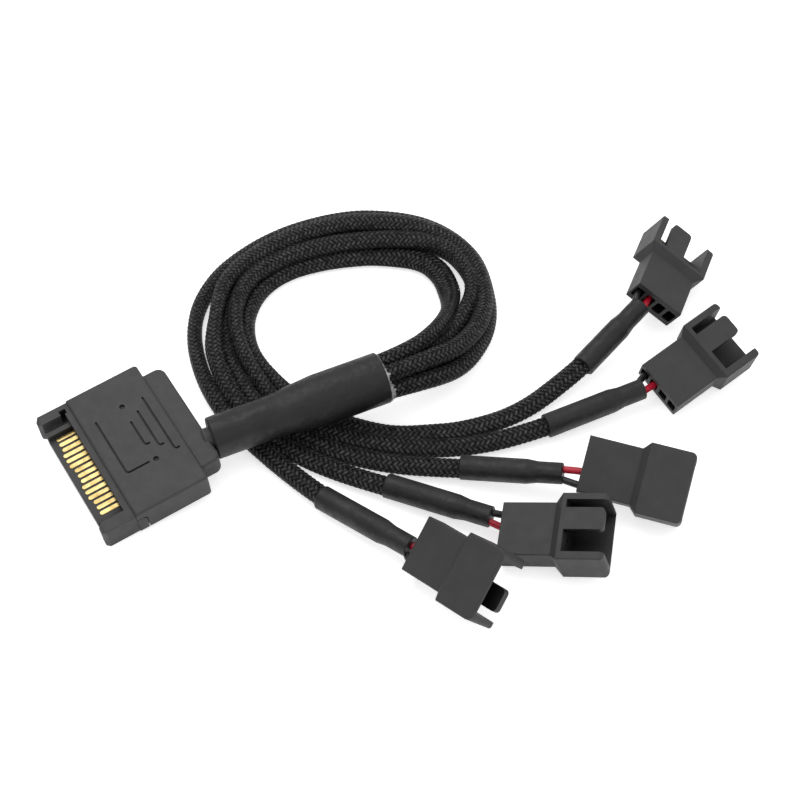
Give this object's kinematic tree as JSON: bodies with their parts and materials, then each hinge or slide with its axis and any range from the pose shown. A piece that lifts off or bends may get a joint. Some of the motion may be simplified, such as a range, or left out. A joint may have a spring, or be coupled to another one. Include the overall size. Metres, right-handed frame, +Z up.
{
  "type": "fan splitter cable",
  "caption": "Splitter cable for computer fans: a wide drive-power plug, a thick heat-shrink tube and braided leads looped once, each ending in a fan plug.",
  "frame": {"origin": "on the floor, under the middle of the wide plug and the thick tube together", "axes": "+X along the wide plug from its contacts to the tube, +Z up from the floor it lies on"},
  "size_m": [0.1318, 0.1049, 0.0165],
  "materials": {
    "plug_plastic": "satin",
    "contact_gold": "polished",
    "heat_shrink": "satin",
    "glue": "gloss",
    "braid": "matte",
    "black_insulation": "satin",
    "red_insulation": "satin",
    "fan_plastic": "satin"
  },
  "bodies": {
    "root": {"plug_housing": "plug_plastic", "plug_cover": "plug_plastic", "plug_contacts": "contact_gold", "main_heat_shrink": "heat_shrink", "glue_seal": "glue", "lead_1": "braid", "heat_shrink_1": "heat_shrink", "black_wire_1": "black_insulation", "red_wire_1": "red_insulation", "fan_housing_1": "fan_plastic", "fan_pins_1": "contact_gold", "lead_2": "braid", "heat_shrink_2": "heat_shrink", "black_wire_2": "black_insulation", "red_wire_2": "red_insulation", "fan_housing_2": "fan_plastic", "fan_pins_2": "contact_gold", "lead_3": "braid", "heat_shrink_3": "heat_shrink", "black_wire_3": "black_insulation", "red_wire_3": "red_insulation", "fan_housing_3": "fan_plastic", "fan_pins_3": "contact_gold", "lead_4": "braid", "heat_shrink_4": "heat_shrink", "black_wire_4": "black_insulation", "red_wire_4": "red_insulation", "fan_housing_4": "fan_plastic", "fan_pins_4": "contact_gold", "lead_5": "braid", "heat_shrink_5": "heat_shrink", "black_wire_5": "black_insulation", "red_wire_5": "red_insulation", "fan_housing_5": "fan_plastic", "fan_pins_5": "contact_gold"}
  },
  "joints": []
}
